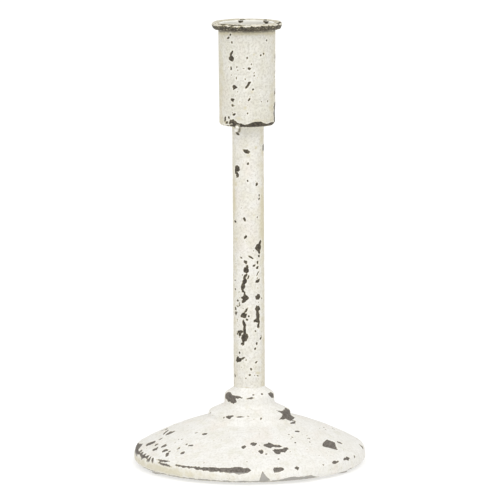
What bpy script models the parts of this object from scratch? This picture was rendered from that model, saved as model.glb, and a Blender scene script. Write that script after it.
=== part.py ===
"""Painted iron candlestick: pressed dish, turned collar, tube stem, candle cup and fasteners.

The stem's axis is Z and the felt pads stand on z = 0. Units are metres, written as
millimetres times MM. The lower plug is bolted up through dish and collar, and the cup
is screwed down on the upper plug, so the candlestick comes apart with a spanner and a
screwdriver.
"""

import math

import bpy
from mathutils import Matrix, Vector

MM = 0.001
GAP = 0.3 * MM  # left between two faces that touch on the real object
ROUND_STEPS = 3  # segments on each rounded corner of a profile
FINE_STEPS = 64  # segments round the dish and the rim
STEPS = 40  # segments round the other turned pieces
SMALL_STEPS = 24  # segments round plugs, screws and pads
SHARP_ANGLE = math.radians(35)
MERGE = 0.00001

# Driving dimensions
OVERALL_HEIGHT = 210.0 * MM
BASE_DIAMETER = 110.0 * MM
STEM_DIAMETER = 14.8 * MM
CUP_MOUTH_DIAMETER = 26.8 * MM
CUP_FOOT_DIAMETER = 26.2 * MM
CANDLE_BORE = 22.9 * MM  # takes a 22 mm dinner candle
CUP_FOOT_Z = 161.8 * MM
RIM_DIAMETER = 33.1 * MM
RIM_WIRE = 3.1 * MM

# Felt pads
PAD_COUNT = 3
PAD_RADIUS = 4.0 * MM
PAD_THICKNESS = 0.9 * MM
PAD_CIRCLE = 48.2 * MM
PAD_FIRST_ANGLE = math.radians(90)

# Dish
HEM_Z = PAD_THICKNESS + GAP
DISH_SHEET = 1.5 * MM
HEM_INNER = 43.0 * MM
BAND_TOP = HEM_Z + 6.3 * MM
BAND_INSET = 0.5 * MM
BAND_WIDEST = HEM_Z + 2.6 * MM
CREASE_ROUND = 2.2 * MM
HEM_ROUND = 2.2 * MM
DOME_RADIUS = 140.0 * MM
DOME_STEPS = 6
SEAT_RADIUS = 20.5 * MM
SEAT_Z = HEM_Z + 20.4 * MM

# Collar
FLANGE_RADIUS = 20.0 * MM
FLANGE_FOOT = SEAT_Z + GAP
FLANGE_TOP = HEM_Z + 23.6 * MM
FLANGE_ROUND = 1.0 * MM
RING_RADIUS = 11.9 * MM
RING_FOOT = HEM_Z + 27.2 * MM
RING_FOOT_ROUND = 1.6 * MM
COLLAR_TOP = HEM_Z + 33.5 * MM
RING_SHOULDER = 3.0 * MM
SOCKET_FLOOR = FLANGE_FOOT + 4.0 * MM

# Stem
STEM_RADIUS = STEM_DIAMETER / 2
STEM_WALL = 1.2 * MM
STEM_FOOT = SOCKET_FLOOR + GAP
STEM_TOP = CUP_FOOT_Z - GAP
PLUG_RADIUS = STEM_RADIUS - STEM_WALL - GAP
UPPER_PLUG_LENGTH = 12.0 * MM
LOWER_PLUG_LENGTH = 15.0 * MM
EDGE_BREAK = 0.4 * MM

# Cup
CUP_FLOOR = 3.0 * MM
CUP_FOOT_ROUND = 1.7 * MM
CUP_FLOOR_ROUND = 1.0 * MM
CUP_LIP_ROUND = 0.5 * MM
REBATE_RADIUS = RIM_DIAMETER / 2 - RIM_WIRE - GAP
RIM_Z = OVERALL_HEIGHT - RIM_WIRE / 2
CUP_TOP = OVERALL_HEIGHT - 0.5 * MM
REBATE_Z = RIM_Z - RIM_WIRE / 2 - GAP
RIM_SECTION_STEPS = 12

# Cup screw, M5 countersunk
CUP_SCREW_RADIUS = 2.5 * MM
CUP_SCREW_HEAD_RADIUS = 4.7 * MM
CUP_SCREW_HEAD = 2.4 * MM
CUP_SCREW_LENGTH = 13.0 * MM
CUP_SCREW_TOP = CUP_FOOT_Z + CUP_FLOOR - 0.2 * MM
SLOT_WIDTH = 1.2 * MM
SLOT_DEPTH = 1.1 * MM

# Base bolt, M6 hex, with its washers
BOLT_RADIUS = 3.0 * MM
BOLT_HEAD_FLATS = 10.0 * MM
BOLT_HEAD = 4.0 * MM
WASHER_RADIUS = 9.0 * MM
WASHER_THICKNESS = 1.6 * MM
SPRING_RADIUS = 5.6 * MM
SPRING_THICKNESS = 1.5 * MM
SPRING_CUT = 0.9 * MM
WASHER_TOP = SEAT_Z - DISH_SHEET - GAP
SPRING_TOP = WASHER_TOP - WASHER_THICKNESS - GAP
BOLT_HEAD_TOP = SPRING_TOP - SPRING_THICKNESS - GAP
BOLT_HEAD_FOOT = BOLT_HEAD_TOP - BOLT_HEAD
BOLT_TIP = STEM_FOOT + LOWER_PLUG_LENGTH - 2.0 * MM
SHANK_FOOT = BOLT_HEAD_TOP - BOLT_HEAD / 2  # inside the head, which it is joined to

# Colours (linear RGB), roughness and metallic value of each material
PAINT_ON_BASE = ((0.80, 0.78, 0.72), 0.62, 0.0)
PAINT_ON_STEM = ((0.74, 0.72, 0.65), 0.62, 0.0)
PAINT_ON_CUP = ((0.66, 0.63, 0.56), 0.62, 0.0)
PAINT_ON_RIM = ((0.62, 0.57, 0.46), 0.66, 0.0)
BARE_STEEL = ((0.36, 0.35, 0.34), 0.42, 1.0)
ZINC_STEEL = ((0.58, 0.58, 0.57), 0.34, 1.0)
GREY_FELT = ((0.16, 0.15, 0.14), 0.95, 0.0)


def clear_scene():
    """Remove every object of the start-up scene."""
    for thing in list(bpy.data.objects):
        bpy.data.objects.remove(thing, do_unlink=True)


def new_collection(name):
    collection = bpy.data.collections.new(name)
    bpy.context.scene.collection.children.link(collection)
    return collection


def new_material(name, finish):
    """A Principled material from a colour, a roughness and a metallic value."""
    colour, roughness, metallic = finish
    material = bpy.data.materials.new(name)
    material.use_nodes = True
    shader = material.node_tree.nodes["Principled BSDF"]
    shader.inputs["Base Color"].default_value = (*colour, 1.0)
    shader.inputs["Roughness"].default_value = roughness
    shader.inputs["Metallic"].default_value = metallic
    material.diffuse_color = (*colour, 1.0)
    return material


def arc_between(start, end, radius, steps):
    """Points after start and up to end, on a circle of this radius that bulges outward."""
    chord = end - start
    middle = (start + end) / 2
    inward = Vector((chord.y, -chord.x)).normalized()
    centre = middle + inward * math.sqrt(radius**2 - (chord.length / 2) ** 2)
    first, last = start - centre, end - centre
    turn = first.angle_signed(last)
    return [centre + Matrix.Rotation(-turn * i / steps, 2) @ first for i in range(1, steps + 1)]


def rounded_corner(before, corner, after, radius):
    """The arc that replaces a corner, touching both of its sides."""
    to_before = (before - corner).normalized()
    to_after = (after - corner).normalized()
    half = to_before.angle(to_after) / 2
    centre = corner + (to_before + to_after).normalized() * radius / math.sin(half)
    first = corner + to_before * radius / math.tan(half) - centre
    last = corner + to_after * radius / math.tan(half) - centre
    turn = first.angle_signed(last)
    return [
        centre + Matrix.Rotation(-turn * i / ROUND_STEPS, 2) @ first
        for i in range(ROUND_STEPS + 1)
    ]


def outline(corners, closed=True):
    """Profile points (radius, height) from (radius, height, corner rounding) corners."""
    points = [Vector(corner[:2]) for corner in corners]
    result = []
    for i, (radius, height, rounding) in enumerate(corners):
        at_end = not closed and i in (0, len(corners) - 1)
        if rounding == 0 or at_end:
            result.append(Vector((radius, height)))
        else:
            after = points[(i + 1) % len(points)]
            result += rounded_corner(points[i - 1], points[i], after, rounding)
    return result


def profile_mesh(name, points, closed):
    """A mesh of edges only: the profile in the XZ plane."""
    edges = [(i, i + 1) for i in range(len(points) - 1)]
    if closed:
        edges.append((len(points) - 1, 0))
    mesh = bpy.data.meshes.new(name)
    mesh.from_pydata([(p.x, 0.0, p.y) for p in points], edges, [])
    return mesh


def turned(name, points, steps, closed=True, sheet=0.0):
    """A turned piece: the profile screwed once about Z, and given a thickness if it is sheet."""
    piece = bpy.data.objects.new(name, profile_mesh(name, points, closed))
    screw = piece.modifiers.new("turn", "SCREW")
    screw.axis = "Z"
    screw.angle = math.tau
    screw.steps = screw.render_steps = steps
    screw.use_merge_vertices = True
    screw.merge_threshold = MERGE
    if sheet:
        solidify = piece.modifiers.new("sheet", "SOLIDIFY")
        solidify.thickness = sheet
        solidify.offset = -1.0
        solidify.use_even_offset = True
    return piece


def make_box(name, size, location):
    """A cutter box."""
    bpy.ops.mesh.primitive_cube_add(size=1, location=location)
    box = bpy.context.object
    box.name = name
    box.data.transform(Matrix.Diagonal((*size, 1)))
    return box


def place(piece, collection):
    """Put a piece in its own collection only."""
    for owner in list(piece.users_collection):
        owner.objects.unlink(piece)
    collection.objects.link(piece)
    return piece


def boolean(piece, tool, operation, tools):
    """Cut or join a piece with a tool, which stays hidden in the tools' collection."""
    place(tool, tools)
    tool.hide_render = True
    tool.display_type = "WIRE"
    change = piece.modifiers.new(operation.lower(), "BOOLEAN")
    change.operation = operation
    change.solver = "EXACT"
    change.object = tool


def make_dish():
    """Pressed dish: flat seat, shallow dome, rolled crease, edge band and turned-in hem."""
    hole = Vector((BOLT_RADIUS + GAP, SEAT_Z))
    seat = Vector((SEAT_RADIUS, SEAT_Z))
    edge = BASE_DIAMETER / 2
    crease = Vector((edge - BAND_INSET, BAND_TOP))
    dome = arc_between(seat, crease, DOME_RADIUS, DOME_STEPS)
    lower = outline(
        [
            (*dome[-2], 0),
            (*crease, CREASE_ROUND),
            (edge, BAND_WIDEST, 0),
            (edge - BAND_INSET / 2, HEM_Z, HEM_ROUND),
            (HEM_INNER, HEM_Z, 0),
        ],
        closed=False,
    )
    return turned("base_dish", [hole, seat, *dome[:-2], *lower], FINE_STEPS, False, DISH_SHEET)


def make_collar():
    """Turned collar: ring with a round shoulder, flare and flange, bored for tube and bolt."""
    socket = STEM_RADIUS + GAP
    hole = BOLT_RADIUS + GAP
    corners = [
        (socket, COLLAR_TOP, 0),
        (RING_RADIUS, COLLAR_TOP, RING_SHOULDER),
        (RING_RADIUS, RING_FOOT, RING_FOOT_ROUND),
        (FLANGE_RADIUS, FLANGE_TOP, FLANGE_ROUND),
        (FLANGE_RADIUS, FLANGE_FOOT, 0),
        (hole, FLANGE_FOOT, 0),
        (hole, SOCKET_FLOOR, 0),
        (socket, SOCKET_FLOOR, 0),
    ]
    return turned("stem_collar", outline(corners), STEPS)


def make_tube():
    """Plain stem tube, standing in the collar's socket and carrying the cup."""
    inner = STEM_RADIUS - STEM_WALL
    corners = [
        (inner, STEM_TOP, 0),
        (STEM_RADIUS, STEM_TOP, 0),
        (STEM_RADIUS, STEM_FOOT, 0),
        (inner, STEM_FOOT, 0),
    ]
    return turned("stem_tube", outline(corners), STEPS)


def make_plug(name, top, length, screw_radius):
    """Round plug for one end of the tube, bored for its screw."""
    hole = screw_radius + GAP
    corners = [
        (hole, top, 0),
        (PLUG_RADIUS, top, EDGE_BREAK),
        (PLUG_RADIUS, top - length, EDGE_BREAK),
        (hole, top - length, 0),
    ]
    return turned(name, outline(corners), SMALL_STEPS)


def make_lower_plug():
    """Plug that the base bolt screws into, flush with the tube's foot."""
    top = STEM_FOOT + LOWER_PLUG_LENGTH
    return make_plug("lower_stem_plug", top, LOWER_PLUG_LENGTH, BOLT_RADIUS)


def make_upper_plug():
    """Plug that the cup screw goes into, flush with the tube's top."""
    return make_plug("upper_stem_plug", STEM_TOP, UPPER_PLUG_LENGTH, CUP_SCREW_RADIUS)


def make_cup():
    """Drawn cup with a countersunk floor, a rounded foot and a rebate for the rim ring."""
    bore = CANDLE_BORE / 2
    floor = CUP_FOOT_Z + CUP_FLOOR
    hole = CUP_SCREW_RADIUS + GAP
    sink = CUP_SCREW_HEAD_RADIUS + GAP
    sink_foot = CUP_SCREW_TOP - CUP_SCREW_HEAD
    corners = [
        (bore, CUP_TOP, CUP_LIP_ROUND),
        (REBATE_RADIUS, CUP_TOP, CUP_LIP_ROUND),
        (REBATE_RADIUS, REBATE_Z, 0),
        (CUP_MOUTH_DIAMETER / 2, REBATE_Z, 0),
        (CUP_FOOT_DIAMETER / 2, CUP_FOOT_Z, CUP_FOOT_ROUND),
        (hole, CUP_FOOT_Z, 0),
        (hole, sink_foot, 0),
        (sink, CUP_SCREW_TOP, 0),
        (sink, floor, 0),
        (bore, floor, CUP_FLOOR_ROUND),
    ]
    return turned("candle_cup", outline(corners), STEPS)


def make_rim():
    """Wire ring that sits in the rebate about the cup's mouth."""
    wire = RIM_WIRE / 2
    centre = Vector((RIM_DIAMETER / 2 - wire, RIM_Z))
    turns = [-math.tau * i / RIM_SECTION_STEPS for i in range(RIM_SECTION_STEPS)]
    points = [centre + Vector((math.cos(turn), math.sin(turn))) * wire for turn in turns]
    return turned("rim_ring", points, FINE_STEPS)


def make_cup_screw(tools):
    """Countersunk screw: flat slotted head, cone and shank."""
    tip = CUP_SCREW_TOP - CUP_SCREW_LENGTH
    corners = [
        (0, CUP_SCREW_TOP, 0),
        (CUP_SCREW_HEAD_RADIUS, CUP_SCREW_TOP, 0),
        (CUP_SCREW_RADIUS, CUP_SCREW_TOP - CUP_SCREW_HEAD, 0),
        (CUP_SCREW_RADIUS, tip + EDGE_BREAK, 0),
        (CUP_SCREW_RADIUS - EDGE_BREAK, tip, 0),
        (0, tip, 0),
    ]
    screw = turned("cup_screw", outline(corners, closed=False), SMALL_STEPS, closed=False)
    slot_size = (CUP_SCREW_HEAD_RADIUS * 3, SLOT_WIDTH, SLOT_DEPTH * 2)
    boolean(screw, make_box("screw_slot", slot_size, (0, 0, CUP_SCREW_TOP)), "DIFFERENCE", tools)
    return screw


def make_bolt_shank():
    """The bolt's threaded shank, from inside its head to its tip in the lower plug."""
    corners = [
        (0, BOLT_TIP, 0),
        (BOLT_RADIUS - EDGE_BREAK, BOLT_TIP, 0),
        (BOLT_RADIUS, BOLT_TIP - EDGE_BREAK, 0),
        (BOLT_RADIUS, SHANK_FOOT, 0),
        (0, SHANK_FOOT, 0),
    ]
    return turned("bolt_shank", outline(corners, closed=False), SMALL_STEPS, closed=False)


def make_base_bolt(tools):
    """Bolt with a hexagonal head with broken edges, joined to its shank."""
    bpy.ops.mesh.primitive_cylinder_add(
        vertices=6,
        radius=BOLT_HEAD_FLATS / math.sqrt(3),
        depth=BOLT_HEAD,
        location=(0, 0, BOLT_HEAD_FOOT + BOLT_HEAD / 2),
    )
    head = bpy.context.object
    head.name = "base_bolt"
    bevel = head.modifiers.new("broken_edges", "BEVEL")
    bevel.width = EDGE_BREAK
    bevel.segments = 1
    boolean(head, make_bolt_shank(), "UNION", tools)
    return head


def make_washer(name, radius, thickness, top, steps):
    """Flat ring with the bolt's clearance hole."""
    hole = BOLT_RADIUS + GAP
    corners = [(hole, top), (radius, top), (radius, top - thickness), (hole, top - thickness)]
    return turned(name, outline([(*corner, 0) for corner in corners]), steps)


def make_base_washer():
    """Wide flat washer against the underside of the dish's seat."""
    return make_washer("base_washer", WASHER_RADIUS, WASHER_THICKNESS, WASHER_TOP, STEPS)


def make_spring_washer(tools):
    """Split washer between the bolt's head and the flat washer."""
    washer = make_washer(
        "spring_washer", SPRING_RADIUS, SPRING_THICKNESS, SPRING_TOP, SMALL_STEPS
    )
    cut_size = (SPRING_RADIUS * 2, SPRING_CUT, SPRING_THICKNESS * 2)
    cut_place = (SPRING_RADIUS, 0, SPRING_TOP - SPRING_THICKNESS / 2)
    boolean(washer, make_box("spring_cut", cut_size, cut_place), "DIFFERENCE", tools)
    return washer


def make_pad(number):
    """Felt pad under the hem, the first at the back and the others equally spaced."""
    angle = PAD_FIRST_ANGLE + math.tau * (number - 1) / PAD_COUNT
    centre = Vector((math.cos(angle), math.sin(angle), 0)) * PAD_CIRCLE
    bpy.ops.mesh.primitive_cylinder_add(
        vertices=SMALL_STEPS,
        radius=PAD_RADIUS,
        depth=PAD_THICKNESS,
        location=centre + Vector((0, 0, PAD_THICKNESS / 2)),
    )
    pad = bpy.context.object
    pad.name = f"felt_pad_{number}"
    return pad


def settle_mesh(piece):
    """Apply the modifiers, and shade the round faces smooth and the edges sharp."""
    evaluated = piece.evaluated_get(bpy.context.evaluated_depsgraph_get())
    mesh = bpy.data.meshes.new_from_object(evaluated)
    piece.modifiers.clear()
    piece.data = mesh
    mesh.name = piece.name
    mesh.shade_smooth()
    mesh.set_sharp_from_angle(angle=SHARP_ANGLE)


def build():
    clear_scene()
    parts = new_collection("candlestick")
    tools = new_collection("cutters")

    pieces = [
        (make_dish(), PAINT_ON_BASE),
        (make_collar(), PAINT_ON_BASE),
        (make_tube(), PAINT_ON_STEM),
        (make_lower_plug(), BARE_STEEL),
        (make_upper_plug(), BARE_STEEL),
        (make_cup(), PAINT_ON_CUP),
        (make_rim(), PAINT_ON_RIM),
        (make_cup_screw(tools), ZINC_STEEL),
        (make_base_bolt(tools), ZINC_STEEL),
        (make_base_washer(), ZINC_STEEL),
        (make_spring_washer(tools), ZINC_STEEL),
    ]
    pieces += [(make_pad(number), GREY_FELT) for number in range(1, PAD_COUNT + 1)]

    for piece, _ in pieces:
        place(piece, parts)
    bpy.context.view_layer.update()
    for piece, finish in pieces:
        settle_mesh(piece)
        piece.data.materials.clear()
        piece.data.materials.append(new_material(f"{piece.name}_finish", finish))


build()
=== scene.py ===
"""Looks of the painted iron candlestick: chalky off-white paint, chipped to dark iron.

Each painted piece is a finely turned skin round its CAD node. A skin carries a field of
chips, in millimetres to the nearest edge of a chip (positive inside one). The field sinks
the mesh by the paint's thickness and goes to the material as the attribute "chip".
Angles are in degrees round the stem, 0 at the front (-Y) and positive to the right (+X).
Lengths in this file are millimetres until a mesh is built.
"""

import math

import bpy
import numpy as np
from mathutils import Matrix, Vector, noise


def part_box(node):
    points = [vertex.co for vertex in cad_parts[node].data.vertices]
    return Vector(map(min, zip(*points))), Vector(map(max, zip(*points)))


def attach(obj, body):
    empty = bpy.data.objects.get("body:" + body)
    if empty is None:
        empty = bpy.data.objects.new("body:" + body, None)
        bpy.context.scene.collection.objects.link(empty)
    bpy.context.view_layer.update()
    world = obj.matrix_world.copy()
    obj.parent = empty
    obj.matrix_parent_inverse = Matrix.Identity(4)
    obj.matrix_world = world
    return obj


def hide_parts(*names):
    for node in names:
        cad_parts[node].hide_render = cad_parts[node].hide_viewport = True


MM = 0.001
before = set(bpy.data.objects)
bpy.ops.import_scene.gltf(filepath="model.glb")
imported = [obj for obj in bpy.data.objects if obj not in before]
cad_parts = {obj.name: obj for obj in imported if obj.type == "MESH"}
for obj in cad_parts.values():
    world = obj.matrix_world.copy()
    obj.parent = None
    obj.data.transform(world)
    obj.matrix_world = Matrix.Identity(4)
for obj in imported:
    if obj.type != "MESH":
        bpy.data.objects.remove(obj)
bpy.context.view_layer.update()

# ------------------------------------------------------------------ sizes from the frame


def node_box(name):
    """Lowest and highest corner of a CAD node, in millimetres."""
    low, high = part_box(name)
    return np.array(low) / MM, np.array(high) / MM


DISH_LOW, DISH_HIGH = node_box("base_dish")
COLLAR_LOW, COLLAR_HIGH = node_box("stem_collar")
STEM_LOW, STEM_HIGH = node_box("stem_tube")
CUP_LOW, CUP_HIGH = node_box("candle_cup")
RIM_LOW, RIM_HIGH = node_box("rim_ring")
BOLT_LOW, BOLT_HIGH = node_box("base_bolt")
SCREW_LOW, SCREW_HIGH = node_box("cup_screw")
WASHER_LOW, WASHER_HIGH = node_box("base_washer")
SPRING_LOW, SPRING_HIGH = node_box("spring_washer")

# Radii and heights, in millimetres
EDGE = DISH_HIGH[0]
HEM_Z = DISH_LOW[2]
HEM_INNER = 43.0
CREASE_Z = HEM_Z + 6.3
DOME_RADIUS = 140.0
DOME_STEPS = 24
SEAT_Z = DISH_HIGH[2]
SEAT_RADIUS = 20.5
SEAT_HIDDEN = 19.0  # the seam of the dish's skin, hidden under the collar
SHEET = 1.5
BOLT_HOLE = 3.3
FLANGE = COLLAR_HIGH[0]
FLANGE_Z = COLLAR_LOW[2]
RING = 11.9
COLLAR_TOP = COLLAR_HIGH[2]
SKIRT = (FLANGE + 2.6, SEAT_Z - 0.72)  # where the collar's paint runs out on the dish
STEM = STEM_HIGH[0]
STEM_FOOT = STEM_LOW[2]
STEM_WALL = 1.2
CUP_FOOT = CUP_LOW[2]
CUP_FLOOR = CUP_FOOT + 3.0
CUP_TOP = CUP_HIGH[2]
CUP_MOUTH = CUP_HIGH[0]
CUP_BASE = CUP_MOUTH - 0.3
BORE = 11.45
SCREW_SINK = 5.0
RIM_WIRE = (RIM_HIGH[2] - RIM_LOW[2]) / 2
RIM_Z = (RIM_HIGH[2] + RIM_LOW[2]) / 2
RIM_CENTRE = RIM_HIGH[0] - RIM_WIRE
REBATE = RIM_CENTRE - RIM_WIRE - 0.3
CUP_OFFSET = (-0.3, 0.0)  # the cup and its rim sit a little to the left of the stem's axis
PAINT_GAP = 0.1  # a skin's hidden rows lie this far from the face of the piece beside it

# Distance between the rows of a skin, seen and unseen, and the number of its columns
DISH_MESH = (0.42, 1.8, 840)
COLLAR_MESH = (0.33, 3.0, 320)
STEM_MESH = (0.34, 4.0, 160)
CUP_MESH = (0.33, 0.55, 280)
RIM_ROWS, RIM_COLUMNS = 30, 320

# ------------------------------------------------------------------ paint and chips

CHIP_DEPTH = 0.24
CHIP_RAMP = 0.30
LIP_HEIGHT = 0.05
LIP_PLACE = 0.28
LIP_WIDTH = 0.16
BARE_ROUGHNESS = 0.03
NO_CHIP = -3.0
POINTED = 1.8  # exponent of a chip's outline: 2 is an ellipse, 1 a diamond
GRIME_WIDTH = 0.4
RIM_PAINT_LEFT = 0.09  # a low limit on the chip field leaves flecks of paint in the wear

# Chips are (angle, place, length, width, slant from upright to the right). On the cup, stem
# and collar the place is the height above the table, and on the dish it is the radius.
# The lists of chips and outlines began as the output of a separate script, which turned marks
# made by eye into angles and millimetres, and were then adjusted by hand.
CUP_CHIPS = [
    (-35, 205.2, 1.1, 0.8, 0),
    (-40, 203.4, 1.6, 1.1, 74),
    (-32, 201.6, 1.2, 1.1, -33),
    (-33, 196.2, 2.8, 1.4, 28),
    (-34, 194.1, 2.8, 2.6, -40),
    (-34, 189.4, 1.9, 1.1, 0),
    (-22, 184.9, 1.1, 0.5, 0),
    (-27, 180.6, 2.7, 1.9, 88),
    (-28, 180.1, 1.6, 1.7, 0),
    (-32, 174.8, 2.1, 1.5, 87),
    (-31, 172.1, 1.3, 0.9, -45),
    (-28, 167.9, 2.0, 1.3, 63),
    (0, 194.5, 1.1, 0.7, 0),
    (4, 189.6, 1.5, 1.4, 0),
    (2, 181.4, 4.0, 1.3, 33),
    (12, 179.7, 1.0, 0.8, 0),
    (4, 175.0, 1.5, 1.0, 46),
    (1, 168.4, 1.0, 0.7, 0),
    (-4, 184.4, 0.9, 0.6, 0),
    (44, 202.3, 1.0, 0.8, 0),
    (36, 196.0, 1.0, 0.8, 26),
    (84, 193.4, 2.8, 3.2, 28),
    (76, 191.6, 1.0, 0.8, 0),
    (86, 186.9, 2.4, 2.6, -30),
    (84, 182.4, 1.5, 2.4, 40),
    (77, 184.6, 0.9, 0.7, 20),
    (83, 177.4, 2.9, 3.6, -20),
    (74, 175.9, 1.1, 1.0, 0),
    (80, 170.2, 3.6, 4.4, 20),
    (84, 167.0, 11.0, 6.4, 0),
    (-52, 165.3, 3.0, 1.2, 4),
    (-47, 163.4, 2.0, 1.4, 70),
    (-41, 166.3, 1.3, 1.1, 0),
    (-37, 164.3, 2.6, 1.7, 20),
    (-33, 164.4, 2.4, 1.8, 50),
    (-27, 164.0, 2.8, 1.9, -50),
    (-20, 163.2, 2.8, 1.5, -55),
    (-12, 162.8, 2.2, 1.4, -75),
    (6, 163.0, 3.0, 1.2, 75),
    (17, 163.6, 6.0, 1.9, 86),
    (27, 163.5, 3.6, 1.6, -84),
    (60, 163.0, 8.0, 0.9, 88),
]
STEM_CHIPS = [
    (-42, 157.9, 2.6, 1.1, -71),
    (-6, 149.9, 3.1, 1.8, -70),
    (77, 151.0, 3.6, 2.6, 0),
    (0, 144.0, 1.5, 1.1, 20),
    (-46, 141.5, 3.4, 3.4, 30),
    (-54, 139.8, 1.6, 1.6, 0),
    (-43, 138.3, 2.8, 2.2, -15),
    (-2, 135.8, 0.8, 0.6, 0),
    (32, 134.2, 1.7, 1.2, 24),
    (44, 128.7, 1.4, 0.8, -22),
    (43, 127.2, 1.5, 0.9, 36),
    (-15, 117.5, 1.9, 1.1, -35),
    (-58, 116.2, 1.3, 1.7, 0),
    (-12, 109.1, 2.1, 1.4, 21),
    (46, 106.1, 2.8, 1.9, 23),
    (40, 103.9, 3.6, 4.4, 0),
    (44, 103.4, 2.2, 2.0, -30),
    (42, 101.9, 2.2, 1.4, 0),
    (42, 100.0, 1.2, 1.1, 76),
    (8, 99.7, 3.2, 0.8, -57),
    (-30, 99.3, 1.4, 0.6, -66),
    (-12, 97.4, 1.8, 1.3, -29),
    (-6, 94.9, 2.8, 1.5, 16),
    (-9, 93.5, 3.0, 2.8, 40),
    (-13, 90.5, 3.4, 1.3, 31),
    (-1, 90.1, 1.8, 0.9, 25),
    (-16, 88.2, 3.4, 2.2, 24),
    (-22, 85.8, 3.8, 2.2, 20),
    (-20, 83.2, 3.2, 1.1, -37),
    (-24, 83.6, 1.8, 0.8, 22),
    (-16, 82.0, 1.8, 0.9, 0),
    (-14, 80.2, 3.0, 3.6, -11),
    (-20, 78.7, 2.6, 1.6, 50),
    (-11, 74.2, 3.1, 0.9, 40),
    (-20, 71.9, 3.2, 2.3, 60),
    (0, 71.5, 0.9, 0.8, 0),
    (-7, 69.8, 1.7, 0.9, -51),
    (-18, 67.6, 3.6, 1.9, -11),
    (-17, 64.7, 3.4, 1.7, 0),
    (-13, 62.4, 3.4, 2.2, -16),
    (-17, 61.0, 3.8, 3.2, 40),
    (-23, 58.6, 2.6, 1.1, 10),
    (-38, 63.8, 3.6, 1.9, 85),
    (-37, 62.9, 2.4, 2.0, 0),
    (-46, 78.6, 1.1, 1.1, 4),
    (-45, 75.8, 0.8, 0.7, 0),
    (-60, 74.4, 1.8, 1.4, -22),
    (-58, 72.0, 1.8, 1.2, -10),
    (-60, 84.0, 1.2, 1.3, 0),
    (-62, 88.0, 0.9, 0.9, 0),
    (-38, 53.9, 1.2, 1.2, 4),
    (-46, 50.6, 3.2, 2.6, 40),
    (-41, 50.2, 3.6, 2.0, 62),
    (-24, 51.3, 2.2, 1.0, 60),
    (27, 49.4, 1.4, 0.8, 57),
    (-30, 58.4, 1.0, 0.9, 0),
    (6, 46.2, 1.3, 1.0, 0),
    (1, 43.3, 1.1, 0.9, 0),
    (36, 96.9, 1.7, 1.2, 14),
    (20, 95.7, 1.9, 1.2, 70),
    (34, 94.4, 1.6, 1.1, 67),
    (36, 91.7, 2.4, 0.5, 38),
    (35, 88.0, 3.0, 1.9, 65),
    (36, 80.7, 3.0, 2.7, 0),
    (34, 75.0, 2.9, 3.0, 0),
    (35, 71.6, 6.4, 2.1, 0),
    (28, 69.3, 3.0, 1.5, 70),
    (35, 69.2, 3.2, 2.3, -40),
    (38, 67.2, 3.4, 1.4, 4),
    (24, 64.5, 0.9, 0.7, 0),
    (49, 60.5, 1.5, 1.1, 46),
    (30, 58.4, 1.3, 1.1, 0),
    (23, 55.8, 1.3, 1.0, 3),
    (-66, 42.4, 1.8, 1.4, 0),
]
COLLAR_CHIPS = [
    (2, 32.9, 3.4, 1.0, 82),
    (11, 34.3, 1.2, 0.8, 77),
    (35, 34.4, 1.4, 0.9, 36),
    (-39, 24.3, 1.2, 0.8, 68),
    (-30, 25.1, 3.6, 2.1, 70),
    (-14, 25.3, 3.8, 1.1, 85),
    (-2, 25.5, 1.4, 0.6, 86),
    (16, 24.8, 1.3, 1.0, 8),
    (-76, 24.7, 1.4, 0.8, 60),
]
# Drawn outlines of the largest chips, as (angle, place) corners
COLLAR_PATCHES = [
    [(-76, 34.3), (-78, 31.8), (-66, 31.4), (-60, 30.2), (-52, 30.6), (-42, 29.8), (-30, 31.0),
     (-34, 32.5), (-16, 33.1), (-17, 33.6), (-34, 33.9), (-46, 33.9), (-59, 34.5)],
    [(52, 34.1), (74, 34.3), (80, 33.2), (80, 31.0), (70, 31.6), (60, 32.4)],
    [(54, 26.7), (64, 26.0), (92, 26.0), (94, 25.0), (86, 23.8), (86, 21.0), (71, 21.0),
     (63, 21.7), (58, 23.0), (45, 23.2), (50, 24.2), (57, 25.1)],
]
DISH_CHIPS = [
    (-87, 39.9, 6.4, 1.8, -67),
    (-80, 39.0, 5.2, 2.2, -46),
    (-78, 37.6, 4.4, 2.0, -20),
    (-98, 40.0, 5.4, 1.4, -82),
    (-101, 35.3, 3.4, 1.2, 17),
    (-78, 47.6, 6.2, 4.4, 32),
    (-70, 46.6, 2.8, 1.9, -30),
    (-65, 49.0, 3.4, 2.8, 0),
    (-76, 43.1, 2.2, 1.8, 32),
    (-62, 45.4, 2.8, 2.4, 45),
    (-56, 47.7, 3.4, 3.0, 60),
    (-51, 49.5, 3.2, 2.0, -50),
    (-48, 44.8, 1.7, 1.1, 63),
    (-42, 46.8, 2.3, 2.0, 45),
    (-46, 40.9, 1.4, 0.8, -23),
    (-42, 40.8, 2.8, 1.9, 50),
    (-52, 31.7, 1.5, 0.8, 52),
    (-42, 31.2, 2.6, 1.9, 80),
    (-4, 39.2, 2.8, 1.7, 10),
    (3, 36.9, 2.9, 3.0, 80),
    (7, 42.6, 3.2, 2.0, 15),
    (14, 38.2, 4.8, 4.2, 84),
    (19, 39.1, 4.4, 1.9, -72),
    (17, 43.2, 3.4, 3.8, 85),
    (21, 42.4, 4.8, 3.0, 62),
    (24, 41.2, 2.8, 1.9, 80),
    (16, 48.0, 1.2, 0.9, 90),
    (36, 31.2, 1.1, 0.8, 86),
    (36, 33.7, 1.0, 0.8, 85),
    (34, 37.8, 1.1, 1.0, 86),
    (48, 29.9, 2.8, 1.7, 88),
    (86, 35.0, 1.4, 0.7, 86),
    (82, 36.4, 1.4, 0.7, -88),
    (69, 45.6, 3.0, 2.0, -50),
    (65, 22.7, 6.5, 2.6, 80),
    (84, 53.4, 5.0, 1.6, 60),
]
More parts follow.
